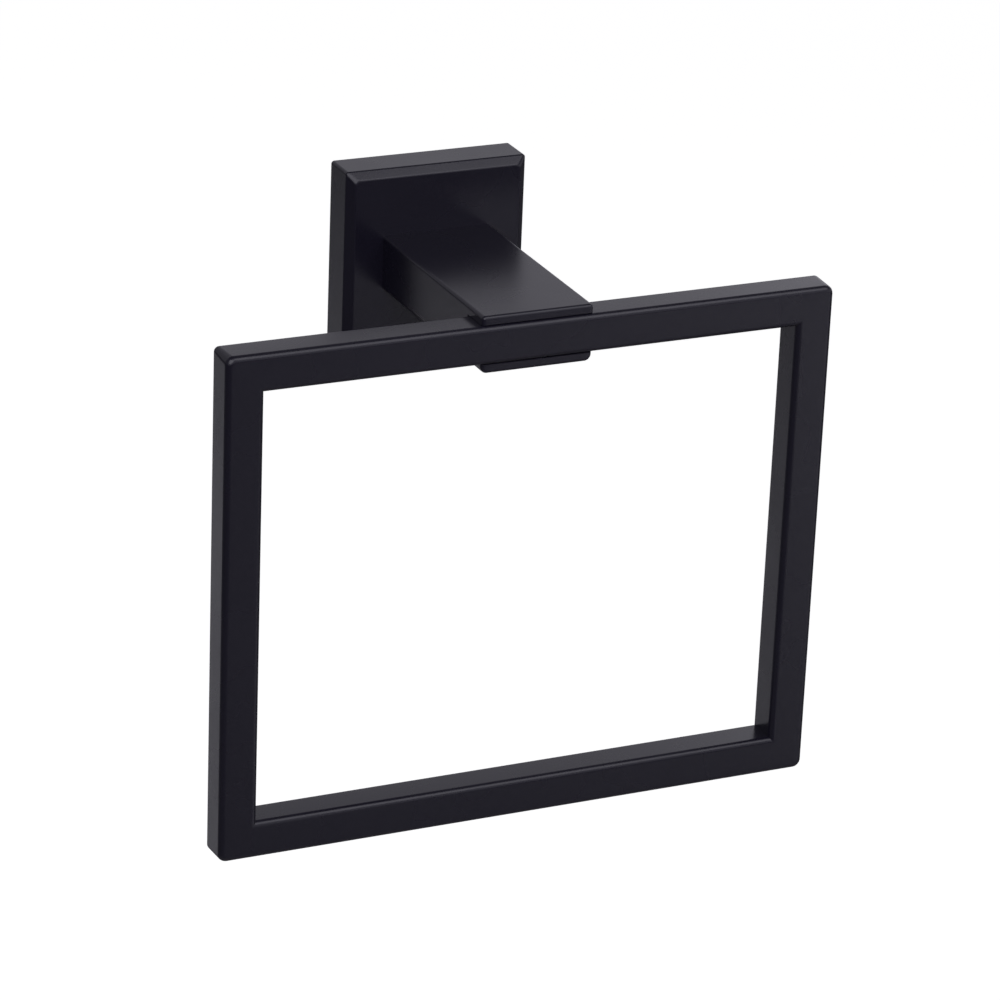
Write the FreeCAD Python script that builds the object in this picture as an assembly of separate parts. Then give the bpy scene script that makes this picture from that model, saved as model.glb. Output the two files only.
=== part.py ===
"""Square towel ring on a rectangular arm with a square cover plate.

Frame: millimetres, +X to the right as seen by someone facing the wall, +Y into the
wall, +Z up. The origin is the centre of the cover plate on the wall's face, so the
whole part lies at y <= 0. Distances "forward" are measured from the wall, so a
point that lies 12 mm forward has y = -12.
"""
import FreeCAD, Part
import math
import os

# Ring: one square frame of square bar
ring_width = 164.0
ring_height = 135.0
bar_height = 10.0
bar_depth = 10.0
ring_outer_corner_radius = 1.8
ring_edge_radius = 1.5

# Post: the arm that carries the ring in a slot across its front end
post_front = 75.0
post_width = 30.0
lip_thickness = 2.4
slot_clearance = 0.1
bar_stands_proud = 0.8
post_upper_edge_radius = 0.9
post_lower_edge_radius = 1.8
post_front_edge_radius = 0.9
slot_edge_chamfer = 0.2
post_wall = 2.0
core_stops_before_slot = 6.0
core_corner_radius = 1.0

# Cover plate: a hollow casting with a bevel round its front
cover_size = 50.0
cover_wall = 2.0
cover_front_wall = 2.5
cover_bevel = 2.0
cover_edge_radius = 0.8
cover_inner_corner_radius = 1.0
cover_boss_radius = 7.0
cover_boss_height = 1.0
cover_rib_thickness = 1.6

# Tie screw with its two washers: it pulls the ring, the post and the cover together
tie_thread_radius = 2.5
tie_engagement = 5.5
tie_head_radius = 4.75
tie_head_height = 3.7
tie_head_edge_radius = 1.6
tie_recess_width = 1.2
tie_recess_length = 5.2
tie_recess_depth = 2.0
tapped_clearance = 0.05
tapped_extra_depth = 1.5
tapped_mouth_chamfer = 0.5
bore_clearance = 0.25
lock_washer_radius = 4.6
lock_washer_thickness = 1.2
lock_washer_split = 1.0
lock_washer_hole_clearance = 0.1
flat_washer_radius = 5.0
flat_washer_thickness = 1.0
flat_washer_hole_clearance = 0.15

# Nibs on the post's back end that stop it turning on the cover
nib_radius = 1.3
nib_height = 1.8
nib_clearance = 0.1
nib_to_bore = 1.55
web_beside_nib = 1.1

# Wall bracket: folded sheet whose two flanges lean outwards
sheet_thickness = 2.0
bracket_width = 30.0
flange_length = 7.0
flange_angle = 40.0
bend_inner_radius = 1.0
bracket_corner_radius = 2.0
room_above_flange = 4.5
wall_hole_radius = 2.25
wall_hole_edge_distance = 4.5
head_to_bracket_clearance = 0.6

# Hook inside the cover that hangs on the upper flange
hook_width = 24.0
hook_clearance = 0.15
hook_back = 0.6
hook_thickness = 3.4
hook_reach_below_flange_tip = 3.0

# Grub screw that comes up through the cover's lower wall against the lower flange
grub_thread_radius = 2.0
grub_length = 6.0
grub_forward = 3.6
grub_tip_radius = 0.4
grub_point_angle = 45.0
grub_gap = 0.1
grub_socket_across_flats = 2.0
grub_socket_depth = 2.5
grub_boss_width = 8.0
grub_boss_depth = 6.4
grub_boss_height = 2.8

# Places that follow from the sizes above
post_height = bar_height + 2 * slot_clearance + 2 * lip_thickness
ring_front = post_front + bar_stands_proud
ring_back = ring_front - bar_depth
head_back = sheet_thickness + head_to_bracket_clearance
head_seat = head_back + tie_head_height
lock_washer_seat = head_seat + lock_washer_thickness
boss_face = lock_washer_seat + flat_washer_thickness
cavity_depth = boss_face + cover_boss_height
cover_depth = cavity_depth + cover_front_wall
cavity_half = cover_size / 2 - cover_wall
bore_radius = tie_thread_radius + bore_clearance
nib_offset = bore_radius + nib_to_bore + nib_radius
web_half = nib_offset + nib_radius + web_beside_nib
lean = math.radians(flange_angle)
flange_rise = flange_length * math.sin(lean)
bracket_half_height = cavity_half - room_above_flange - flange_rise
flange_tip = bracket_half_height + flange_rise

FORWARD = FreeCAD.Vector(0, -1, 0)
RIGHT = FreeCAD.Vector(1, 0, 0)
UP = FreeCAD.Vector(0, 0, 1)
OVERSHOOT = 1.0
TOLERANCE = 1e-5


def point(x, forward, z):
    """A point given by its distance in front of the wall."""
    return FreeCAD.Vector(x, -forward, z)


def block(width, back, front, low, high, middle=0.0):
    """A block of a width about x = middle, between two distances and two heights."""
    corner = point(middle - width / 2, front, low)
    return Part.makeBox(width, front - back, high - low, corner)


def rod(radius, back, front, x=0.0, z=0.0):
    """A round rod that points straight out from the wall."""
    return Part.makeCylinder(radius, front - back, point(x, back, z), FORWARD)


def cone(back_radius, front_radius, back, front, x=0.0, z=0.0):
    """A cone round a line that points straight out from the wall."""
    return Part.makeCone(back_radius, front_radius, front - back, point(x, back, z), FORWARD)


def straight_edges(shape, direction):
    """The straight edges of a shape that run along a direction."""
    found = []
    for edge in shape.Edges:
        start = edge.Vertexes[0].Point
        run = edge.Vertexes[-1].Point.sub(start)
        if edge.Curve.TypeId == "Part::GeomLine" and run.cross(direction).Length < TOLERANCE:
            found.append(edge)
    return found


def edges_at(shape, forward):
    """The edges of a shape that lie wholly in one plane in front of the wall."""
    found = []
    for edge in shape.Edges:
        reach = edge.BoundBox
        if abs(reach.YMin + forward) < TOLERANCE and abs(reach.YMax + forward) < TOLERANCE:
            found.append(edge)
    return found


def prism(outline, width):
    """A bar of constant section: outline holds (forward, z) corners, centred on x = 0."""
    corners = [point(-width / 2, forward, z) for forward, z in outline]
    face = Part.Face(Part.makePolygon(corners + corners[:1]))
    return face.extrude(RIGHT * width)


def make_ring():
    """A square frame with rounded arrises and a tapped hole in the back of its top bar.

    The corners of the window stay sharp, as four mitred bars leave them.
    """
    top = bar_height / 2
    bottom = top - ring_height
    outside = block(ring_width, ring_back, ring_front, bottom, top)
    outside = outside.makeFillet(ring_outer_corner_radius, straight_edges(outside, FORWARD))
    window_width = ring_width - 2 * bar_height
    window = block(window_width, ring_back, ring_front, bottom + bar_height, top - bar_height)
    frame = outside.cut(window)
    arrises = edges_at(frame, ring_back) + edges_at(frame, ring_front)
    frame = frame.makeFillet(ring_edge_radius, arrises)
    tapped_radius = tie_thread_radius + tapped_clearance
    tapped_end = ring_back + tie_engagement + tapped_extra_depth
    mouth_radius = tapped_radius + tapped_mouth_chamfer
    frame = frame.cut(rod(tapped_radius, ring_back - OVERSHOOT, tapped_end))
    return frame.cut(cone(mouth_radius, tapped_radius, ring_back, ring_back + tapped_mouth_chamfer))


def make_post():
    """A rectangular arm: slotted across its front, cored from its back, bored end to end."""
    half_height = post_height / 2
    arm = block(post_width, cover_depth, post_front, -half_height, half_height)
    upper_edges = [edge for edge in straight_edges(arm, FORWARD) if edge.BoundBox.ZMin > 0]
    arm = arm.makeFillet(post_upper_edge_radius, upper_edges)
    lower_edges = [edge for edge in straight_edges(arm, FORWARD) if edge.BoundBox.ZMax < 0]
    arm = arm.makeFillet(post_lower_edge_radius, lower_edges)
    front_radius = min(post_front_edge_radius, 0.45 * lip_thickness)
    arm = arm.makeFillet(front_radius, edges_at(arm, post_front))
    slot_half = bar_height / 2 + slot_clearance
    arm = arm.cut(block(post_width, ring_back, post_front + OVERSHOOT, -slot_half, slot_half))
    flare = slot_half + slot_edge_chamfer
    mouth = prism([(post_front - slot_edge_chamfer, -slot_half), (post_front, -flare),
                   (post_front, flare), (post_front - slot_edge_chamfer, slot_half)], post_width)
    arm = arm.cut(mouth)
    arm = arm.cut(rod(bore_radius, cover_depth - OVERSHOOT, ring_back + OVERSHOOT))
    core_width = post_width / 2 - post_wall - web_half
    core_half_height = half_height - post_wall
    core_middle = web_half + core_width / 2
    core_end = ring_back - core_stops_before_slot
    radius = min(core_corner_radius, 0.4 * core_width)
    for side in (-1, 1):
        core = block(core_width, cover_depth, core_end, -core_half_height, core_half_height,
                     side * core_middle)
        core = core.makeFillet(radius, straight_edges(core, FORWARD) + edges_at(core, core_end))
        arm = arm.cut(core)
        arm = arm.fuse(rod(nib_radius, cover_depth - nib_height, cover_depth, side * nib_offset))
    return arm.removeSplitter()


def make_cover_skin():
    """The cover's outside: a square block with a bevel round its front and softened edges."""
    half = cover_size / 2
    skin = block(cover_size, 0, cover_depth, -half, half)
    skin = skin.makeChamfer(cover_bevel, edges_at(skin, cover_depth))
    soft = edges_at(skin, cover_depth) + edges_at(skin, cover_depth - cover_bevel)
    soft += straight_edges(skin, FORWARD)
    for edge in skin.Edges:
        run = edge.Vertexes[-1].Point.sub(edge.Vertexes[0].Point)
        is_mitre = min(abs(run.x), abs(run.y), abs(run.z)) > TOLERANCE
        if is_mitre:
            soft.append(edge)
    return skin.makeFillet(cover_edge_radius, soft)


def make_cover_cavity():
    """The hollow behind the cover's front wall, open to the room's wall."""
    cavity = block(2 * cavity_half, -OVERSHOOT, cavity_depth, -cavity_half, cavity_half)
    rounded = straight_edges(cavity, FORWARD) + edges_at(cavity, cavity_depth)
    return cavity.makeFillet(cover_inner_corner_radius, rounded)


def make_hook():
    """A ledge under the cover's top wall with a slanted face that lies on the upper flange."""
    slope = math.tan(lean)
    face_height = bracket_half_height + hook_clearance / math.cos(lean)
    tip = flange_tip - hook_reach_below_flange_tip
    hook_front = hook_back + hook_thickness
    face_at_tip = (tip - face_height) / slope
    root = cavity_half + cover_wall / 2
    outline = [(hook_back, root), (hook_back, tip), (face_at_tip, tip),
               (hook_front, face_height + hook_front * slope), (hook_front, root)]
    return prism(outline, hook_width)


def make_cover():
    """The hollow cover with its centre boss, ribs, hook and the boss for the grub screw."""
    cover = make_cover_skin().cut(make_cover_cavity())
    inside = [rod(cover_boss_radius, boss_face, cavity_depth + OVERSHOOT), make_hook()]
    reach = cavity_half + cover_wall / 2
    rib = block(2 * reach, boss_face, cavity_depth + OVERSHOOT,
                -cover_rib_thickness / 2, cover_rib_thickness / 2)
    crossing_rib = rib.copy()
    crossing_rib.rotate(point(0, 0, 0), FORWARD, 90)
    inside += [rib, crossing_rib]
    boss_back = grub_forward - grub_boss_depth / 2
    boss_front = grub_forward + grub_boss_depth / 2
    boss_top = grub_boss_height - cavity_half
    inside.append(block(grub_boss_width, boss_back, boss_front, -reach, boss_top))
    cover = cover.fuse(inside)
    cover = cover.cut(rod(bore_radius, boss_face - OVERSHOOT, cover_depth + OVERSHOOT))
    for side in (-1, 1):
        nib_hole = rod(nib_radius + nib_clearance, boss_face - OVERSHOOT,
                       cover_depth + OVERSHOOT, side * nib_offset)
        cover = cover.cut(nib_hole)
    tapped_radius = grub_thread_radius + tapped_clearance
    tapped = Part.makeCylinder(tapped_radius, cover_size / 2,
                               point(0, grub_forward, -cover_size / 2 - OVERSHOOT), UP)
    return cover.cut(tapped).removeSplitter()


def make_tie_screw():
    """A pan-head screw with a cross recess: its thread is drawn as a plain shank."""
    tip = ring_back + tie_engagement
    head = rod(tie_head_radius, head_back, head_seat)
    head = head.makeFillet(tie_head_edge_radius, edges_at(head, head_back))
    for turn in (0, 90):
        arm = block(tie_recess_length, head_back - OVERSHOOT, head_back + tie_recess_depth,
                    -tie_recess_width / 2, tie_recess_width / 2)
        arm.rotate(point(0, 0, 0), FORWARD, turn)
        head = head.cut(arm)
    shank = rod(tie_thread_radius, head_seat, tip)
    shank = shank.makeChamfer(tapped_mouth_chamfer, edges_at(shank, tip))
    return head.fuse(shank).removeSplitter()


def make_lock_washer():
    """A split spring washer, pressed flat under the screw's head."""
    hole = tie_thread_radius + lock_washer_hole_clearance
    washer = rod(lock_washer_radius, head_seat, lock_washer_seat)
    washer = washer.cut(rod(hole, head_seat, lock_washer_seat))
    split = block(lock_washer_split, head_seat, lock_washer_seat, 0, 2 * lock_washer_radius)
    return washer.cut(split)


def make_flat_washer():
    """A plain washer between the spring washer and the cover's boss."""
    hole = tie_thread_radius + flat_washer_hole_clearance
    washer = rod(flat_washer_radius, lock_washer_seat, boss_face)
    return washer.cut(rod(hole, lock_washer_seat, boss_face))


def make_wall_bracket():
    """A folded strip: a flat base on the wall and two flanges that lean outwards."""
    inward = math.cos(lean)
    outward = math.sin(lean)
    fold_shift = sheet_thickness * (1 - outward) / inward * outward - sheet_thickness * inward
    inner_fold = bracket_half_height + fold_shift
    tip_forward = flange_length * inward
    inner_tip = (tip_forward + sheet_thickness * outward, flange_tip - sheet_thickness * inward)
    upper = [(0, bracket_half_height), (tip_forward, flange_tip), inner_tip,
             (sheet_thickness, inner_fold)]
    lower = [(forward, -z) for forward, z in reversed(upper)]
    bracket = prism(upper + lower, bracket_width)
    inner = [edge for edge in straight_edges(bracket, RIGHT)
             if abs(abs(edge.CenterOfMass.z) - inner_fold) < TOLERANCE]
    bracket = bracket.makeFillet(bend_inner_radius, inner)
    outer = [edge for edge in straight_edges(bracket, RIGHT)
             if abs(edge.CenterOfMass.y) < TOLERANCE]
    bracket = bracket.makeFillet(bend_inner_radius + sheet_thickness, outer)
    corners = []
    for edge in bracket.Edges:
        short = abs(edge.Length - sheet_thickness) < TOLERANCE
        at_tip = abs(edge.CenterOfMass.z) > bracket_half_height + flange_rise / 2
        if short and at_tip:
            corners.append(edge)
    bracket = bracket.makeFillet(bracket_corner_radius, corners)
    hole_offset = bracket_width / 2 - wall_hole_edge_distance
    for side in (-1, 1):
        bracket = bracket.cut(rod(wall_hole_radius, -OVERSHOOT, sheet_thickness + OVERSHOOT,
                                  side * hole_offset))
    return bracket


def make_grub_screw():
    """A headless screw with a hexagon socket below and a cone point above."""
    slope = math.tan(lean)
    tip = -(bracket_half_height + (grub_forward + grub_tip_radius) * slope) - grub_gap
    foot = tip - grub_length
    point_height = (grub_thread_radius - grub_tip_radius) / math.tan(math.radians(grub_point_angle))
    body = Part.makeCylinder(grub_thread_radius, grub_length - point_height,
                             point(0, grub_forward, foot), UP)
    cone_point = Part.makeCone(grub_thread_radius, grub_tip_radius, point_height,
                               point(0, grub_forward, tip - point_height), UP)
    corner_radius = grub_socket_across_flats / math.sqrt(3)
    corners = []
    for step in range(7):
        turn = math.radians(60 * step)
        corners.append(point(corner_radius * math.cos(turn),
                             grub_forward + corner_radius * math.sin(turn), foot))
    socket = Part.Face(Part.makePolygon(corners)).extrude(UP * grub_socket_depth)
    return body.fuse(cone_point).cut(socket).removeSplitter()


pieces = {
    "ring": make_ring,
    "post": make_post,
    "escutcheon": make_cover,
    "tie_screw": make_tie_screw,
    "tie_lock_washer": make_lock_washer,
    "tie_flat_washer": make_flat_washer,
    "wall_bracket": make_wall_bracket,
    "grub_screw": make_grub_screw,
}

os.makedirs("parts", exist_ok=True)
for name, make in pieces.items():
    solid = make()
    solid.exportStep("parts/" + name + ".step")
    print(name, "solids", len(solid.Solids), "valid", solid.isValid(),
          "volume", round(solid.Volume, 1), "mm3")
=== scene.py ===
# %% [markdown]
# # A square towel ring in satin black
#
# A frame of square bar hangs in the slotted end of a rectangular arm, and the arm stands on a
# square cover plate with a bevelled front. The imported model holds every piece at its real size.
# This lesson gives the pieces that show a finer surface and every piece its finish, then sets
# up a plain studio.

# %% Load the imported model
import math

import bmesh
import bpy
import numpy as np
from mathutils import Matrix, Vector


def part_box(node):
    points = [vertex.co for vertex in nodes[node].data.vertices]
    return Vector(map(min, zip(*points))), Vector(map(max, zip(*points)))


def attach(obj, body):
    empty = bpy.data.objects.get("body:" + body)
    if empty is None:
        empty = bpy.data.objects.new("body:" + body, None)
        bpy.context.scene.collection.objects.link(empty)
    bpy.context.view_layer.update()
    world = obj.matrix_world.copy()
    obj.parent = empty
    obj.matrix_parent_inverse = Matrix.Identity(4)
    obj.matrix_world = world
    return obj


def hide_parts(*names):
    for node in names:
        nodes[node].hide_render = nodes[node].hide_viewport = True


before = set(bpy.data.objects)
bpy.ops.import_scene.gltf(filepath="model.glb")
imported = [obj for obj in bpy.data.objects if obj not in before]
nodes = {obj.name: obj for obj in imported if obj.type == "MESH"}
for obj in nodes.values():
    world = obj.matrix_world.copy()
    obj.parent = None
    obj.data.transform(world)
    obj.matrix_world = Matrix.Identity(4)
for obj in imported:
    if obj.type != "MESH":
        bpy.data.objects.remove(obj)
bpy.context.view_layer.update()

MM = 0.001
print("nodes:", ", ".join(sorted(nodes)))

# %% [markdown]
# ## Reading sizes from the frame
#
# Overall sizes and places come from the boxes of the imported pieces, so that a new surface lies
# exactly where the old one does. All shape formulas below work in millimetres, and a distance
# "forward" is measured from the wall towards the room, which is the direction -Y.

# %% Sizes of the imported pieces


def box_mm(node):
    """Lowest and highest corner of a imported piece, in millimetres."""
    low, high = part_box(node)
    return np.array(low) / MM, np.array(high) / MM


ring_low, ring_high = box_mm("ring")
post_low, post_high = box_mm("post")
cover_low, cover_high = box_mm("escutcheon")
screw_low, screw_high = box_mm("tie_screw")
grub_low, grub_high = box_mm("grub_screw")

ring_half_width = (ring_high[0] - ring_low[0]) / 2
ring_half_height = (ring_high[2] - ring_low[2]) / 2
ring_middle_z = (ring_high[2] + ring_low[2]) / 2
ring_front, ring_back = -ring_low[1], -ring_high[1]
post_front = -post_low[1]
cover_front = -cover_low[1]
cover_half = cover_high[0]
print(f"ring {2 * ring_half_width:.1f} x {2 * ring_half_height:.1f} mm, front {ring_front:.1f} mm out")

# %% [markdown]
# ## Tools for surfaces
#
# Every surface here is worked out as whole arrays of points. Two ideas carry most of it. The
# first is an outline whose corners are rounded by true arcs. The second is a stack of rounded
# rectangles: a circle is the special case whose corner radius is half its width, so one
# formula makes the frame, the arm, and the cover plate with its round boss and bore. Boxes with
# a Bevel modifier would be quicker, but one bevel gives all the edges of a box one radius.

# %% An outline with rounded corners


def rounded(corners, radii, steps):
    """Rounds the corners of a closed outline with circular arcs.

    Where two sides meet at the angle a, an arc of radius r starts and ends r / tan(a / 2) from
    the corner, and its centre lies on the bisector, r / sin(a / 2) away. The points of the arc
    turn evenly from the first tangent point to the second.
    """
    corners = np.asarray(corners, float)
    radii = np.asarray(radii, float)[:, None]
    to_last = np.roll(corners, 1, axis=0) - corners
    to_next = np.roll(corners, -1, axis=0) - corners
    to_last /= np.linalg.norm(to_last, axis=1)[:, None]
    to_next /= np.linalg.norm(to_next, axis=1)[:, None]
    half_angle = np.arccos((to_last * to_next).sum(axis=1))[:, None] / 2
    bisector = to_last + to_next
    bisector /= np.linalg.norm(bisector, axis=1)[:, None]
    centre = corners + bisector * radii / np.sin(half_angle)
    first = corners + to_last * radii / np.tan(half_angle) - centre
    second = corners + to_next * radii / np.tan(half_angle) - centre
    sweep = math.pi - 2 * half_angle
    share = np.linspace(0, 1, steps + 1)
    first_part = np.sin((1 - share) * sweep)[:, :, None] * first[:, None, :]
    second_part = np.sin(share * sweep)[:, :, None] * second[:, None, :]
    arcs = centre[:, None, :] + (first_part + second_part) / np.sin(sweep)[:, :, None]
    return arcs.reshape(-1, 2)


example = rounded([(0, 0), (0, 1), (1, 1), (1, 0)], [0.2] * 4, steps=6)
print(f"a square with four arcs of 6 steps has {len(example)} points")

# %% A stack of rounded rectangles


def stacked_loops(half_width, half_height, corner_radius, forward, middle=(0, 0),
                  lower_radius=None, steps=8):
    """A grid of points: one rounded rectangle for each entry of the arrays.

    Corner k of a loop is an arc about (half_width - r, half_height - r), mirrored into its
    quarter, from the angle 90 k to 90 (k + 1) degrees. Rows are loops, columns go round.
    The two lower corners may have a radius of their own.
    """
    quarter = np.arange(4)[:, None]
    turn = ((quarter + np.linspace(0, 1, steps + 1)) * math.pi / 2).ravel()
    across = np.repeat([1, -1, -1, 1], steps + 1)
    upward = np.repeat([1, 1, -1, -1], steps + 1)
    upper = np.asarray(corner_radius, float)[:, None]
    lower = upper if lower_radius is None else np.asarray(lower_radius, float)[:, None]
    radius = np.where(upward > 0, upper, lower)
    x = middle[0] + across * (np.asarray(half_width)[:, None] - radius) + radius * np.cos(turn)
    z = middle[1] + upward * (np.asarray(half_height)[:, None] - radius) + radius * np.sin(turn)
    y = np.broadcast_to(-np.asarray(forward, float)[:, None], x.shape)
    return np.stack([x, y, z], axis=-1)


example = stacked_loops(np.ones(2), np.ones(2), np.ones(2), np.arange(2))
print("two round loops make a grid of", " x ".join(str(size) for size in example.shape))

# %% Faces of a grid


def grid_faces(rows, columns, closed):
    """Four-cornered faces between neighbours of a grid whose columns close on themselves.

    Point (i, j) has the number i * columns + j. If closed, the last row joins the first.
    """
    last = rows if closed else rows - 1
    i, j = np.meshgrid(np.arange(last), np.arange(columns), indexing="ij")
    below = (i + 1) % rows
    right = (j + 1) % columns
    corners = [i * columns + j, below * columns + j, below * columns + right, i * columns + right]
    return np.stack(corners, axis=-1).reshape(-1, 4)


print("a closed grid of 3 rows and 4 columns has", len(grid_faces(3, 4, closed=True)), "faces")

# %% Meshes from grids and from outlines
weld_distance = 1e-7


def finished_object(name, mesh):
    """Merges doubles, turns the normals outwards and links an object at the origin."""
    work = bmesh.new()
    work.from_mesh(mesh)
    bmesh.ops.remove_doubles(work, verts=work.verts, dist=weld_distance)
    bmesh.ops.dissolve_degenerate(work, edges=work.edges, dist=weld_distance)
    bmesh.ops.recalc_face_normals(work, faces=work.faces)
    work.to_mesh(mesh)
    work.free()
    piece = bpy.data.objects.new(name, mesh)
    bpy.context.scene.collection.objects.link(piece)
    return piece


def solid_from_grid(name, grid, closed=True):
    """A closed mesh object from a grid in millimetres: doubles merged, normals outwards."""
    rows, columns = grid.shape[:2]
    mesh = bpy.data.meshes.new(name)
    faces = grid_faces(rows, columns, closed)
    mesh.from_pydata((grid.reshape(-1, 3) * MM).tolist(), [], faces.tolist())
    return finished_object(name, mesh)


def solid_from_outline(name, outline, half_width):
    """A prism: a closed outline of (forward, z) points, carried across x from side to side."""
    count = len(outline)
    forward, z = np.asarray(outline, float).T
    left = np.stack([np.full(count, -half_width), -forward, z], axis=-1)
    right = left * [-1, 1, 1]
    around = np.arange(count)
    after = (around + 1) % count
    sides = np.stack([around, after, after + count, around + count], axis=-1).tolist()
    ends = [around[::-1].tolist(), (around + count).tolist()]
    mesh = bpy.data.meshes.new(name)
    mesh.from_pydata((np.concatenate([left, right]) * MM).tolist(), [], sides + ends)
    return finished_object(name, mesh)


print(f"points nearer than {weld_distance / MM:.4f} mm become one")

# %% [markdown]
# ## Cutting and joining
#
# Slots, bores and tapped holes are cut with Blender's exact Boolean, which keeps flat faces
# flat. The result is baked into the mesh at once, because the cutter is thrown away. A hole
# could also be part of a piece's own grid, but then its corners would have to lie on the rows
# of that grid.

# %% A Boolean that is applied at once


def combine(piece, other, operation):
    """Cuts or joins another object with a piece and throws the other object away."""
    step = piece.modifiers.new("step", "BOOLEAN")
    step.operation = operation
    step.solver = "EXACT"
    step.object = other
    depsgraph = bpy.context.evaluated_depsgraph_get()
    result = bpy.data.meshes.new_from_object(piece.evaluated_get(depsgraph))
    piece.modifiers.clear()
    piece.data = result
    bpy.data.objects.remove(other)
    print(f"{operation.lower()}: {piece.name} now has {len(result.polygons)} faces")
    return piece


# %% Smooth shading, and a place in the part
root = "root"
sharp_angle = 28
large_faces_first = 100


def soften(piece):
    """Smooth shading, broken at real edges, with normals that favour the large flat faces.

    A plain average of the faces round a point would tilt the shading of a flat face beside its
    rounded edge. Weighting by area keeps the flat face flat and lets the arc take the turn.
    """
    piece.data.shade_smooth()
    piece.data.set_sharp_from_angle(angle=math.radians(sharp_angle))
    weighted = piece.modifiers.new("flat faces first", "WEIGHTED_NORMAL")
    weighted.keep_sharp = True
    weighted.weight = large_faces_first
    return piece


def put_in_place(piece, node):
    """The piece rides on the part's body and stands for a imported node."""
    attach(piece, root)
    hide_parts(node)
    print(f"{piece.name}: {len(piece.data.vertices)} points, stands for {node}")


print(f"an edge that turns by more than {sharp_angle} degrees stays sharp")

# %% [markdown]
# ## The ring
#
# The real ring is four lengths of 10 mm square bar, mitred, welded and ground flush, so it
# reads as one frame. Its long edges are rounded by about a millimetre and a half, and that thin
# rounding is what catches the light along the front. Four bevelled bars could be joined, but
# ground welds are a little rounder in front than behind. So the bar's section is carried round
# the frame instead: each point of the section becomes one rounded rectangle of its own radius.

# %% Build the ring
bar = 10.0
ring_edge_radius = 1.5
ring_front_corner = 2.3
ring_back_corner = 1.3
ring_face_corner = 1.0


def make_ring():
    """The frame as a closed grid: loops round the frame, rows round the bar's section.

    A loop that lies d inside the outer outline has the half sizes less d. The welds are ground
    by hand, so the outer corners are a little rounder in front than behind. Over the edge the
    corner shrinks to the small one of the front face, and it falls to nothing at the window,
    whose corners stay as sharp as the mitred bars leave them.
    """
    section = rounded([(0, ring_back), (0, ring_front), (bar, ring_front), (bar, ring_back)],
                      [ring_edge_radius] * 4, steps=6)
    inset, forward = section.T
    outer = np.interp(forward, [ring_back, ring_front], [ring_back_corner, ring_front_corner])
    share_left = np.interp(inset, [0, ring_edge_radius, bar - ring_edge_radius, bar],
                           [1, ring_face_corner / ring_front_corner, 0, 0])
    grid = stacked_loops(ring_half_width - inset, ring_half_height - inset, outer * share_left,
                         forward, middle=(0, ring_middle_z))
    return solid_from_grid("ring_frame", grid)


ring = make_ring()
print(f"the frame starts as {len(ring.data.polygons)} faces")

# %% [markdown]
# ## Round things
#
# Bores, bosses, screw heads and threads are all lathe work: a profile of (radius, forward)
# points turned about a line. A screw thread is the same surface with a radius that also
# depends on the angle, so that the groove climbs by one pitch in each turn. A Screw modifier
# could wind the thread too, but here head, shank and thread are one closed skin.

# %% A lathe that can cut a thread


def lathe(profile, middle=(0, 0), thread_depth=0.0, pitch=1.0, columns=48):
    """Turns a profile about a line that points forward, as a grid of points.

    The groove is a triangle wave of the phase forward / pitch - angle / full turn, which is
    zero on the crest and one at the root, times the thread's depth at that point.
    """
    radius, forward = np.asarray(profile, float).T
    turn = np.arange(columns) / columns
    phase = forward[:, None] / pitch - turn
    groove = np.abs(2 * (phase - np.floor(phase)) - 1)
    reach = np.maximum(radius[:, None] - np.asarray(thread_depth).reshape(-1, 1) * groove, 0)
    x = middle[0] + reach * np.cos(2 * math.pi * turn)
    z = middle[1] + reach * np.sin(2 * math.pi * turn)
    y = np.broadcast_to(-forward[:, None], x.shape)
    return np.stack([x, y, z], axis=-1)


def drill(piece, radius, back, front, middle=(0, 0)):
    """Cuts a round hole that points forward."""
    profile = [(0, back), (radius, back), (radius, front), (0, front)]
    return combine(piece, solid_from_grid("drill", lathe(profile, middle), closed=False), "DIFFERENCE")


example = lathe([(1, 0), (1, 1)])
print("a profile of two points turns into a grid of", " x ".join(str(size) for size in example.shape))

# %% Drill the ring and put it in place
overshoot = 1.0
tapped_radius = 2.55
tapped_extra_depth = 1.5
screw_tip = -screw_low[1]
drill(ring, tapped_radius, ring_back - overshoot, screw_tip + tapped_extra_depth)
soften(ring)
put_in_place(ring, "ring")

# %% [markdown]
# ## The post
#
# The arm is a die casting: a rounded rectangle carried forward, with a smaller radius where
# its front face meets its sides. A slot across the front takes the ring's top bar, and the two
# lips stay a little behind the bar's front face. Its back is cored out beside the screw's bore,
# and two nibs there stop it from turning on the plate. Stacked loops give its long edges and
# its front edges their own radii, and Booleans cut the rest as the mould's cores would.

# %% Sizes of the post
post_half_width = post_high[0]
post_half_height = post_high[2]
post_upper_radius = 0.9
post_lower_radius = 1.8
post_front_radius = 0.9
slot_clearance = 0.1
slot_flare = 0.2
bore_radius = 2.75
nib_radius = 1.3
nib_height = 1.8
nib_root = 0.5
nib_offset = 5.6
core_inner = 8.0
core_wall = 2.0
core_to_slot = 6.0
print(f"arm {2 * post_half_width:.1f} x {2 * post_half_height:.1f} mm, front {post_front:.1f} mm out")

# %% Build the post


def make_post():
    """The arm as stacked loops from its back end to its front face, closed at both ends.

    Over the last bit the loops shrink as a quarter circle: at the angle a they lie
    r (1 - cos a) further in and r sin a further forward.
    """
    bend = np.linspace(0, math.pi / 2, 7)
    inset = np.concatenate([[0], post_front_radius * (1 - np.cos(bend))])
    forward = np.concatenate([[cover_front], post_front - post_front_radius * (1 - np.sin(bend))])
    grid = stacked_loops(post_half_width - inset, post_half_height - inset,
                         post_upper_radius - inset, forward, lower_radius=post_lower_radius - inset)
    middles = grid[[0, -1]].mean(axis=1, keepdims=True)
    ends = np.broadcast_to(middles, (2,) + grid.shape[1:])
    grid = np.concatenate([ends[:1], grid, ends[1:]])
    return solid_from_grid("post_arm", grid, closed=False)


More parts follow.
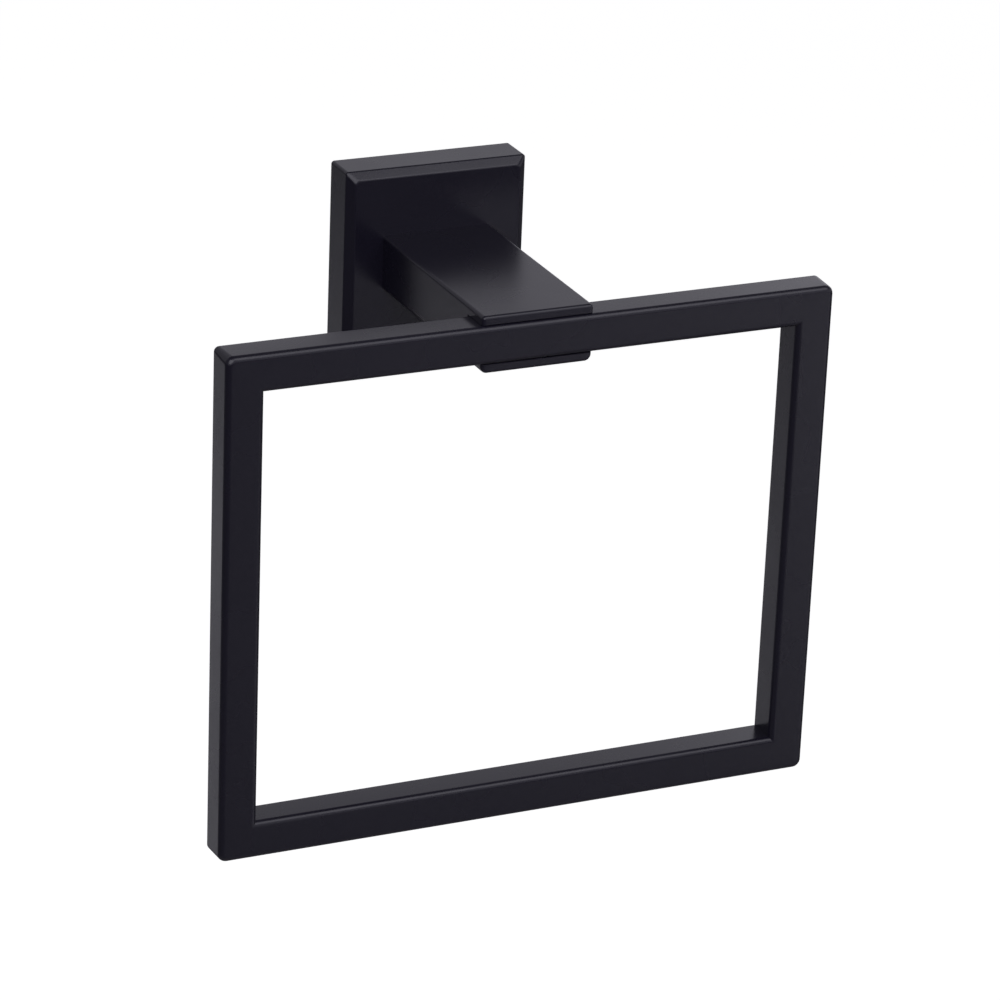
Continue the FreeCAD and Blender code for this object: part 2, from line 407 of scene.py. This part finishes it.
post = make_post()
print(f"the arm starts as {len(post.data.polygons)} faces")

# %% Cut the slot and the bore
slot_half = bar / 2 + slot_clearance
slot_end = post_front + 5 * overshoot
flare_from = post_front - slot_flare
flare_to = post_front + slot_flare
wide_half = slot_half + 2 * slot_flare
slot_outline = [(ring_back, -slot_half), (ring_back, slot_half), (flare_from, slot_half),
                (flare_to, wide_half), (slot_end, wide_half), (slot_end, -wide_half),
                (flare_to, -wide_half), (flare_from, -slot_half)]
slot_cutter = solid_from_outline("slot", slot_outline, post_half_width + 5 * overshoot)
combine(post, slot_cutter, "DIFFERENCE")
drill(post, bore_radius, cover_front - overshoot, ring_back + overshoot)
print(f"slot {2 * slot_half:.1f} mm high, bore {2 * bore_radius:.1f} mm wide")

# %% Cut the cores, add the nibs and put the post in place
core_half_width = (post_half_width - core_wall - core_inner) / 2
core_half_height = post_half_height - core_wall
core_start = cover_front - overshoot
core_end = ring_back - core_to_slot
core_size = np.array([0.0, 1.0, 1.0, 0.0])
for side in (-1, 1):
    core_grid = stacked_loops(core_half_width * core_size, core_half_height * core_size,
                              core_size, [core_start, core_start, core_end, core_end],
                              middle=(side * (core_inner + core_half_width), 0))
    combine(post, solid_from_grid("core", core_grid, closed=False), "DIFFERENCE")
    nib_profile = [(0, cover_front - nib_height), (nib_radius, cover_front - nib_height),
                   (nib_radius, cover_front + nib_root), (0, cover_front + nib_root)]
    nib = solid_from_grid("nib", lathe(nib_profile, (side * nib_offset, 0)), closed=False)
    combine(post, nib, "UNION")
soften(post)
put_in_place(post, "post")

# %% [markdown]
# ## The cover plate
#
# The plate is a thin-walled casting, open at the back. One closed outline runs from the
# screw's bore over the front face, the bevel, the side, the rim, the hollow and its centre
# boss back to the bore. Near the bore each point of it becomes a circle, and elsewhere a square
# with small corners, so a single stack of loops holds the whole shell.

# %% Sizes of the cover
cover_wall = 2.0
cover_front_wall = 2.5
cover_bevel = 2.0
cover_edge_radius = 0.8
cover_front_corner = 1.4
cover_boss_radius = 7.0
cover_boss_height = 1.0
cavity_radius = 1.0
rim_radius = 0.15
bore_edge_radius = 0.1
boss_root_radius = 0.3
boss_edge_radius = 0.2
nearly = 0.9999
cavity_half = cover_half - cover_wall
cavity_depth = cover_front - cover_front_wall
boss_face = cavity_depth - cover_boss_height
print(f"plate {2 * cover_half:.1f} mm wide, hollow {cavity_depth:.1f} mm deep")

# %% Build the cover's shell


def make_cover():
    """The shell as a closed stack: each point of its outline becomes one loop.

    Polishing wears the casting's front corners most, so the corner radius grows over the bevel.
    On the boss and in the bore the corner radius is nearly half the width, which is a circle.
    """
    outline = [(bore_radius, cover_front), (cover_half - cover_bevel, cover_front),
               (cover_half, cover_front - cover_bevel), (cover_half, 0), (cavity_half, 0),
               (cavity_half, cavity_depth), (cover_boss_radius, cavity_depth),
               (cover_boss_radius, boss_face), (bore_radius, boss_face)]
    radii = [bore_edge_radius, cover_edge_radius, cover_edge_radius, rim_radius, rim_radius,
             cavity_radius, boss_root_radius, boss_edge_radius, bore_edge_radius]
    half, forward = rounded(outline, radii, steps=6).T
    steps_each = len(half) // len(outline)
    is_hollow = np.arange(len(half)) >= 4 * steps_each
    outside = np.interp(forward, [cover_front - cover_bevel, cover_front],
                        [cover_edge_radius, cover_front_corner])
    corner = np.where(is_hollow, cavity_radius, outside)
    corner = np.where(half < cover_boss_radius + overshoot, half * nearly, corner)
    return solid_from_grid("cover_plate", stacked_loops(half, half, corner, forward))


cover = make_cover()
print(f"the shell starts as {len(cover.data.polygons)} faces")

# %% [markdown]
# ## Inside the cover
#
# A hook under the top wall hangs on the wall bracket's upper flange, and a boss in the bottom
# wall holds the grub screw that pushes against the lower flange. Four low ribs carry the load
# from the centre boss to the walls. They don't show from the front, but the back is open. Each
# of them keeps one outline all along, so it is a prism that is joined with the shell.

# %% Add the hook
bracket_high = box_mm("wall_bracket")[1]
flange_angle = math.radians(40)
flange_length = 7.0
flange_tip = bracket_high[2]
hook_clearance = 0.15
hook_back = 0.6
hook_thickness = 3.4
hook_half_width = 12.0
hook_reach = 3.0
cast_edge_radius = 0.2
cast_root_radius = 0.3
joint_depth = 0.6 * cover_wall
into_wall = cavity_half + joint_depth

slope = math.tan(flange_angle)
fold_height = flange_tip - flange_length * math.sin(flange_angle)
face_height = fold_height + hook_clearance / math.cos(flange_angle)
hook_tip = flange_tip - hook_reach
hook_front = hook_back + hook_thickness
hook_outline = rounded([(hook_back, into_wall), (hook_back, hook_tip),
                        ((hook_tip - face_height) / slope, hook_tip),
                        (hook_front, face_height + hook_front * slope), (hook_front, into_wall)],
                       [cast_edge_radius, cast_root_radius, cast_edge_radius, cast_root_radius,
                        cast_edge_radius], steps=3)
combine(cover, solid_from_outline("hook", hook_outline, hook_half_width), "UNION")
print(f"the hook's face leans by {math.degrees(flange_angle):.0f} degrees, as the flange does")

# %% Add the ribs and the grub screw's boss
rib_half = 0.8
rib_front = cavity_depth + overshoot
for name, tall, wide in (("flat_rib", rib_half, into_wall), ("tall_rib", into_wall, rib_half)):
    rib = [(boss_face, -tall), (rib_front, -tall), (rib_front, tall), (boss_face, tall)]
    combine(cover, solid_from_outline(name, rib, wide), "UNION")

grub_forward = -(grub_low[1] + grub_high[1]) / 2
grub_boss_half = 4.0
grub_boss_depth = 6.4
grub_boss_height = 2.8
grub_boss_top = grub_boss_height - cavity_half
boss_back = grub_forward - grub_boss_depth / 2
boss_front = grub_forward + grub_boss_depth / 2
grub_boss_outline = rounded([(boss_back, -into_wall), (boss_front, -into_wall),
                             (boss_front, grub_boss_top), (boss_back, grub_boss_top)],
                            [cast_edge_radius, cast_edge_radius, cast_root_radius,
                             cast_root_radius], steps=3)
combine(cover, solid_from_outline("grub_boss", grub_boss_outline, grub_boss_half), "UNION")
print(f"the grub screw stands {grub_forward:.1f} mm out from the wall")

# %% Drill the cover and put it in place
nib_clearance = 0.1
hole_from = boss_face - overshoot
hole_to = cover_front + overshoot
drill(cover, bore_radius, hole_from, hole_to)
for side in (-1, 1):
    drill(cover, nib_radius + nib_clearance, hole_from, hole_to, (side * nib_offset, 0))


def upright(grid, forward):
    """Stands a lathe grid on its end: what pointed forward points down, at a distance out."""
    x, y, z = np.moveaxis(grid, -1, 0)
    return np.stack([x, -forward - z, y], axis=-1)


grub_hole_radius = 2.05
grub_hole_top = 15.0
grub_hole_foot = cover_half + overshoot
grub_hole = [(0, grub_hole_top), (grub_hole_radius, grub_hole_top),
             (grub_hole_radius, grub_hole_foot), (0, grub_hole_foot)]
grub_drill = solid_from_grid("grub_drill", upright(lathe(grub_hole), grub_forward), closed=False)
combine(cover, grub_drill, "DIFFERENCE")
soften(cover)
put_in_place(cover, "escutcheon")

# %% [markdown]
# ## The screws
#
# Both screws have a real 60 degree thread: M5 has a pitch of 0.8 mm and a groove 0.49 mm deep,
# M4 has 0.7 mm and 0.43 mm. The tie screw's thread covers only its last stretch, as on a long
# machine screw, and the shank behind it is plain. The thread runs in and out over one pitch.

# %% Build the tie screw
m5_radius = 2.5
m5_pitch = 0.8
m5_depth = 0.49
m5_thread_length = 22.0
head_back = -screw_high[1]
head_height = 3.7
head_seat = head_back + head_height
head_radius = 4.75
head_dome_radius = 1.6
m5_point = 0.5
steps_per_turn = 10


def make_tie_screw():
    """A pan head, a plain shank and a thread in one profile."""
    dome = np.linspace(0, math.pi / 2, 8)
    head = np.stack([head_radius - head_dome_radius * (1 - np.sin(dome)),
                     head_back + head_dome_radius * (1 - np.cos(dome))], axis=-1)
    thread_from = screw_tip - m5_thread_length
    along = np.arange(thread_from, screw_tip - m5_point, m5_pitch / steps_per_turn)
    rod = np.stack([np.full(len(along), m5_radius), along], axis=-1)
    start = [(0, head_back)]
    seat = [(head_radius, head_seat), (m5_radius, head_seat), (m5_radius, thread_from - m5_point)]
    end = [(m5_radius - m5_point, screw_tip), (0, screw_tip)]
    profile = np.concatenate([start, head, seat, rod, end])
    run_in = np.clip((along - thread_from) / m5_pitch, 0, 1)
    run_out = np.clip((screw_tip - along) / m5_pitch, 0, 1)
    depth = np.concatenate([np.zeros(len(head) + 4), m5_depth * np.minimum(run_in, run_out), [0, 0]])
    return solid_from_grid("tie_screw_threaded", lathe(profile, thread_depth=depth, pitch=m5_pitch),
                           closed=False)


tie_screw = make_tie_screw()
print(f"M5 x {screw_tip - head_seat:.0f} mm, with {m5_thread_length:.0f} mm of thread")

# %% Cut the cross recess and put the screw in place
recess_half_width = 0.6
recess_half_length = 2.6
recess_depth = 2.0
recess_taper = 0.8
recess_mouth = head_back - overshoot
recess_floor = head_back + recess_depth
for wide, tall in ((recess_half_length, recess_half_width), (recess_half_width, recess_half_length)):
    narrow = tall * recess_taper
    slit = [(recess_mouth, -tall), (recess_floor, -narrow), (recess_floor, narrow), (recess_mouth, tall)]
    combine(tie_screw, solid_from_outline("recess", slit, wide), "DIFFERENCE")
soften(tie_screw)
put_in_place(tie_screw, "tie_screw")

# %% Build the grub screw
m4_radius = 2.0
m4_pitch = 0.7
m4_depth = 0.43
m4_point = 0.4
m4_chamfer = 0.3
socket_across_flats = 2.0
socket_depth = 2.5
grub_foot = -grub_low[2]
grub_tip = -grub_high[2]


def make_grub_screw():
    """A threaded rod with a cone point at the top and a chamfered foot."""
    point_height = m4_radius - m4_point
    along = np.arange(grub_tip + point_height, grub_foot - m4_chamfer, m4_pitch / steps_per_turn)
    rod = np.stack([np.full(len(along), m4_radius), along], axis=-1)
    start = [(0, grub_tip), (m4_point, grub_tip)]
    end = [(m4_radius - m4_point, grub_foot), (0, grub_foot)]
    profile = np.concatenate([start, rod, end])
    run_in = np.clip((along - grub_tip - point_height) / m4_pitch, 0, 1)
    depth = np.concatenate([[0, 0], m4_depth * run_in, [0, 0]])
    grid = lathe(profile, thread_depth=depth, pitch=m4_pitch, columns=36)
    return solid_from_grid("grub_screw_threaded", upright(grid, grub_forward), closed=False)


grub_screw = make_grub_screw()
print(f"M4 x {grub_foot - grub_tip:.0f} mm, with a cone point")

# %% Cut its socket and put it in place
hexagon_radius = socket_across_flats / math.sqrt(3)
socket_top = grub_foot - socket_depth
socket_mouth = grub_foot + overshoot
hexagon = [(0, socket_top), (hexagon_radius, socket_top), (hexagon_radius, socket_mouth), (0, socket_mouth)]
socket = solid_from_grid("socket", upright(lathe(hexagon, columns=6), grub_forward), closed=False)
combine(grub_screw, socket, "DIFFERENCE")
soften(grub_screw)
put_in_place(grub_screw, "grub_screw")

# %% [markdown]
# ## Materials
#
# Every colour below is written as it would be picked on a screen, and one function turns it
# to the linear values that the shader works in. One more function adds a node with its
# settings and links.

# %% Colours and nodes


def linear(hex_colour):
    """An sRGB hex colour as linear red, green, blue and alpha."""
    channels = np.array([int(hex_colour[i:i + 2], 16) for i in (1, 3, 5)]) / 255
    low = channels / 12.92
    high = ((channels + 0.055) / 1.055) ** 2.4
    return (*np.where(channels <= 0.04045, low, high).tolist(), 1.0)


def add(tree, kind, inputs=None, **settings):
    """Adds a node: settings are its own options, inputs are values or sockets to link from."""
    made = tree.nodes.new(kind)
    for option, value in settings.items():
        setattr(made, option, value)
    for socket_name, value in (inputs or {}).items():
        if isinstance(value, bpy.types.NodeSocket):
            tree.links.new(value, made.inputs[socket_name])
        else:
            made.inputs[socket_name].default_value = value
    return made


def new_material(name):
    """An empty node material and its tree."""
    material = bpy.data.materials.new(name)
    material.use_nodes = True
    material.node_tree.nodes.clear()
    return material, material.node_tree


print(f"the grey #808080 is {linear('#808080')[0]:.3f} in linear light")

# %% [markdown]
# ### Black powder coat
#
# The visible pieces are sprayed with a dry polyester powder and baked. It melts into a satin
# skin about 0.08 mm thick: black, with an even, fairly soft gloss, and a very shallow "orange
# peel" that is about a millimetre across. The gloss comes from the clear resin at the surface,
# so the shader is a plain dielectric with a typical resin's refractive index. To the eye the
# faces are soft mirrors of the room, and only the rounded edges catch a lamp.

# %% Powder coat on steel and on zinc


def powder_coat(name, colour, roughness, peel_mm, peel_height_mm, drift_mm=22, gloss_change=0.02):
    """A satin skin: even black, slow changes of gloss, and a shallow orange peel."""
    material, tree = new_material(name)
    place = add(tree, "ShaderNodeTexCoord").outputs["Object"]
    drift = add(tree, "ShaderNodeTexNoise",
                {"Vector": place, "Scale": 1 / (drift_mm * MM), "Detail": 2.0, "Roughness": 0.5})
    gloss = add(tree, "ShaderNodeMapRange",
                {"Value": drift.outputs["Fac"], "From Min": 0.3, "From Max": 0.7,
                 "To Min": roughness - gloss_change, "To Max": roughness + gloss_change})
    peel = add(tree, "ShaderNodeTexNoise",
               {"Vector": place, "Scale": 1 / (peel_mm * MM), "Detail": 1.0, "Roughness": 0.4})
    bump = add(tree, "ShaderNodeBump",
               {"Height": peel.outputs["Fac"], "Strength": 1.0, "Distance": peel_height_mm * MM})
    coat = add(tree, "ShaderNodeBsdfPrincipled",
               {"Base Color": linear(colour), "Roughness": gloss.outputs["Result"],
                "IOR": 1.5, "Normal": bump.outputs["Normal"]})
    add(tree, "ShaderNodeOutputMaterial", {"Surface": coat.outputs["BSDF"]})
    return material


steel_coat = powder_coat("black_powder_coat_on_steel_bar", "#1a1824", 0.27, 1.1, 0.006)
zinc_coat = powder_coat("black_powder_coat_on_zinc_casting", "#1a1824", 0.27, 1.1, 0.006)
print(steel_coat.name, "and", zinc_coat.name, "have", len(zinc_coat.node_tree.nodes), "nodes each")

# %% [markdown]
# ### Zinc plate, spring steel and black oxide
#
# The fixings are hidden, but the back view shows them. Zinc plate is a thin bright metal with
# soft grey patches, spring steel is darker, and black oxide is a matt dark skin on a set screw.
# Their real grain is far finer than a tenth of a millimetre. It is drawn at 0.2 to 0.4 mm, so
# that it shows at all.

# %% A plated metal


def plated_metal(name, bright, dull, roughness, patch_mm, grain_mm, grain_height_mm=0.01,
                 gloss_change=0.08):
    """A metal whose colour drifts between a bright and a dull tone, with a fine grain."""
    material, tree = new_material(name)
    place = add(tree, "ShaderNodeTexCoord").outputs["Object"]
    patches = add(tree, "ShaderNodeTexNoise",
                  {"Vector": place, "Scale": 1 / (patch_mm * MM), "Detail": 4.0})
    tone = add(tree, "ShaderNodeValToRGB", {"Fac": patches.outputs["Fac"]})
    tone.color_ramp.elements[0].color = linear(dull)
    tone.color_ramp.elements[0].position = 0.35
    tone.color_ramp.elements[1].color = linear(bright)
    tone.color_ramp.elements[1].position = 0.65
    grain = add(tree, "ShaderNodeTexNoise", {"Vector": place, "Scale": 1 / (grain_mm * MM)})
    gloss = add(tree, "ShaderNodeMapRange",
                {"Value": grain.outputs["Fac"], "To Min": roughness - gloss_change,
                 "To Max": roughness + gloss_change})
    bump = add(tree, "ShaderNodeBump",
               {"Height": grain.outputs["Fac"], "Strength": 0.5, "Distance": grain_height_mm * MM})
    metal = add(tree, "ShaderNodeBsdfPrincipled",
                {"Base Color": tone.outputs["Color"], "Metallic": 1.0,
                 "Roughness": gloss.outputs["Result"], "Normal": bump.outputs["Normal"]})
    add(tree, "ShaderNodeOutputMaterial", {"Surface": metal.outputs["BSDF"]})
    return material


zinc_plate = plated_metal("bright_zinc_plate_on_pressed_steel", "#c3c6cc", "#a9adb6", 0.32, 6, 0.4)
screw_plate = plated_metal("bright_zinc_plate_on_rolled_screw", "#cdd0d6", "#b4b8c0", 0.26, 3, 0.3)
spring_steel = plated_metal("dull_plate_on_spring_steel", "#8f9196", "#7a7c82", 0.38, 3, 0.3)
black_oxide = plated_metal("black_oxide_on_hardened_steel", "#3a3a3d", "#2a2a2c", 0.45, 2, 0.2)
print(zinc_plate.name, "has", len(zinc_plate.node_tree.nodes), "nodes")

# %% Give each piece its material


def coat_piece(piece, material):
    """Gives every material slot of a piece one material."""
    if not piece.data.materials:
        piece.data.materials.append(material)
    for place in piece.material_slots:
        place.material = material


for piece, material in ((ring, steel_coat), (post, zinc_coat), (cover, zinc_coat),
                        (tie_screw, screw_plate), (grub_screw, black_oxide),
                        (nodes["wall_bracket"], zinc_plate), (nodes["tie_flat_washer"], screw_plate),
                        (nodes["tie_lock_washer"], spring_steel)):
    coat_piece(piece, material)
    print(f"{piece.name}: {material.name}")

# %% [markdown]
# ## The studio
#
# The photograph shows the ring alone before pure white. A satin black coat is mostly a mirror
# of the room round it, and each face shows another part of that room. From this camera the top
# faces mirror a pale wall low behind the ring, which darkens upwards and to the left. The front
# faces mirror the floor in front of it, to the right, and the left faces mirror the floor behind
# it, to the left. A small soft lamp above the front draws the thin bright line along the edges.

# %% [markdown]
# The floor lies well below the hanging ring, so its shadow falls outside the picture. To the
# camera the floor glows almost white, and the light that falls on it does the rest, so a shadow
# still shows on it.

# %% Floor
floor_size = 25.0
floor_height = -1.3
floor_glow = 0.93
floor_corners = np.array([(-1, -1), (1, -1), (1, 1), (-1, 1)]) * floor_size
floor_points = np.concatenate([floor_corners, np.full((4, 1), floor_height)], axis=1)
floor_mesh = bpy.data.meshes.new("floor")
floor_mesh.from_pydata(floor_points.tolist(), [], [(0, 1, 2, 3)])
floor = bpy.data.objects.new("floor", floor_mesh)
bpy.context.scene.collection.objects.link(floor)

floor_material, tree = new_material("pale_studio_floor")
rays = add(tree, "ShaderNodeLightPath")
matt = add(tree, "ShaderNodeBsdfDiffuse", {"Color": linear("#d2d2d2")})
glow = add(tree, "ShaderNodeEmission", {"Strength": floor_glow})
unseen = add(tree, "ShaderNodeEmission", {"Strength": 0.0})
seen = add(tree, "ShaderNodeMixShader",
           {0: rays.outputs["Is Camera Ray"], 1: unseen.outputs["Emission"], 2: glow.outputs["Emission"]})
both = add(tree, "ShaderNodeAddShader", {0: matt.outputs["BSDF"], 1: seen.outputs["Shader"]})
add(tree, "ShaderNodeOutputMaterial", {"Surface": both.outputs["Shader"]})
floor_mesh.materials.append(floor_material)
print(f"the floor lies {-floor_height:.1f} m below the middle of the cover plate")

# %% [markdown]
# The world is white to the camera. As light on matt surfaces it is dim and even. In reflections
# it is the pale wall: its strength falls between two heights over the horizon, and with the
# distance to the left. The wall's upper edge slopes, so it stands higher on the left.

# %% World
daylight = "#f6f4ff"
room_light = 0.1
wall_slope = 0.3
wall_from, wall_to = 0.5, 0.74
wall_bright, wall_dim = 0.62, 0.14
far_left, near_right = -0.8, 0.35
left_share = 0.3
world = bpy.data.worlds.new("studio")
bpy.context.scene.world = world
world.use_nodes = True
tree = world.node_tree
tree.nodes.clear()
rays = add(tree, "ShaderNodeLightPath")
around = add(tree, "ShaderNodeBackground", {"Color": linear(daylight), "Strength": room_light})
ray_direction = add(tree, "ShaderNodeTexCoord").outputs["Generated"]
direction = add(tree, "ShaderNodeSeparateXYZ", {"Vector": ray_direction})
height = add(tree, "ShaderNodeMath",
             {0: direction.outputs["X"], 1: wall_slope, 2: direction.outputs["Z"]},
             operation="MULTIPLY_ADD")
over_horizon = add(tree, "ShaderNodeMapRange",
                   {"Value": height.outputs[0], "From Min": wall_from, "From Max": wall_to,
                    "To Min": wall_bright, "To Max": wall_dim})
to_the_right = add(tree, "ShaderNodeMapRange",
                   {"Value": direction.outputs["X"], "From Min": far_left, "From Max": near_right,
                    "To Min": left_share, "To Max": 1.0})
backdrop = add(tree, "ShaderNodeMath", {0: over_horizon.outputs["Result"],
                                        1: to_the_right.outputs["Result"]}, operation="MULTIPLY")
mirrored = add(tree, "ShaderNodeBackground", {"Color": linear(daylight), "Strength": backdrop.outputs[0]})
white = add(tree, "ShaderNodeBackground", {"Color": linear("#ffffff"), "Strength": 1.0})
bent = add(tree, "ShaderNodeMath", {0: rays.outputs["Is Glossy Ray"], 1: rays.outputs["Is Transmission Ray"]},
           operation="MAXIMUM")
soft = add(tree, "ShaderNodeMixShader",
           {0: bent.outputs[0], 1: around.outputs["Background"], 2: mirrored.outputs["Background"]})
seen = add(tree, "ShaderNodeMixShader",
           {0: rays.outputs["Is Camera Ray"], 1: soft.outputs["Shader"], 2: white.outputs["Background"]})
add(tree, "ShaderNodeOutputWorld", {"Surface": seen.outputs["Shader"]})
print(f"the mirrored wall fades from {wall_bright} to {wall_dim}")

# %% [markdown]
# Three lamps stand in front: the small key above, a wide fill to the left, and a dim one low to
# the right. One behind brightens the tops on the right. The last two look straight down and
# light two patches of floor, which the front faces and the left faces mirror.

# %% Soft panels


def panel(name, place, aim, width, height, power):
    """A soft rectangular lamp at a place, turned towards a point."""
    light = bpy.data.lights.new(name, "AREA")
    light.shape = "RECTANGLE"
    light.size = width
    light.size_y = height
    light.energy = power
    light.color = linear(daylight)[:3]
    lamp = bpy.data.objects.new(name, light)
    bpy.context.scene.collection.objects.link(lamp)
    lamp.location = place
    direction = Vector(aim) - Vector(place)
    lamp.rotation_euler = direction.to_track_quat("-Z", "Y").to_euler()
    print(f"{name}: {power} W over {width} x {height} m")
    return lamp


target = (0, -0.04, -0.05)
panel("key_panel", (0.5, -0.75, 0.95), target, 0.8, 0.8, 3.6)
panel("fill_panel", (-0.7, -1.2, 0.9), target, 1.5, 1.5, 13)
panel("side_panel", (1.35, -1.55, -0.35), target, 1.0, 1.0, 0.8)
panel("back_panel", (1.2, 1.2, 0.7), target, 0.8, 1.0, 1.5)
panel("right_floor_panel", (2.4, -2.9, -0.2), (2.4, -2.9, -1.0), 1.2, 1.2, 22)
panel("left_floor_panel", (-1.05, 2.5, -0.5), (-1.05, 2.5, -1.0), 0.9, 1.2, 7)

# %% [markdown]
# ## The camera
#
# The camera was found by fitting the ring's straight edges to the photograph: a long lens from
# the left and a little above, with a slight roll.

# %% The axes of a camera


def look_matrix(azimuth, elevation, roll):
    """Axes of a camera that looks from an azimuth and elevation, turned by a roll.

    Azimuth 0 looks along +Y. The columns are the camera's right, up and backward directions.
    """
    across, above, tilt = np.radians([azimuth, elevation, roll])
    backward = np.array([math.sin(across) * math.cos(above), -math.cos(across) * math.cos(above),
                         math.sin(above)])
    level_right = np.cross([0, 0, 1], backward)
    level_right /= np.linalg.norm(level_right)
    level_up = np.cross(backward, level_right)
    right = level_right * math.cos(tilt) + level_up * math.sin(tilt)
    up = level_up * math.cos(tilt) - level_right * math.sin(tilt)
    return np.stack([right, up, backward], axis=1)


print("a level camera that looks along +Y has its back towards", look_matrix(0, 0, 0)[:, 2])

# %% Place the camera
camera_place = (-0.43950, -1.00115, 0.38158)
camera_azimuth = -24.958
camera_elevation = 22.504
camera_roll = 2.328
lens_mm = 160.07
sensor_mm = 36

camera_data = bpy.data.cameras.new("camera")
camera_data.sensor_width = sensor_mm
camera_data.lens = lens_mm
camera = bpy.data.objects.new("camera", camera_data)
bpy.context.scene.collection.objects.link(camera)
camera.location = camera_place
camera.rotation_mode = "XYZ"
bpy.context.scene.camera = camera
camera.rotation_euler = Matrix(look_matrix(camera_azimuth, camera_elevation, camera_roll)).to_euler()
bpy.context.scene.view_settings.view_transform = "Standard"
print(f"a {lens_mm:.0f} mm lens, {math.dist(camera_place, target):.2f} m from the ring")
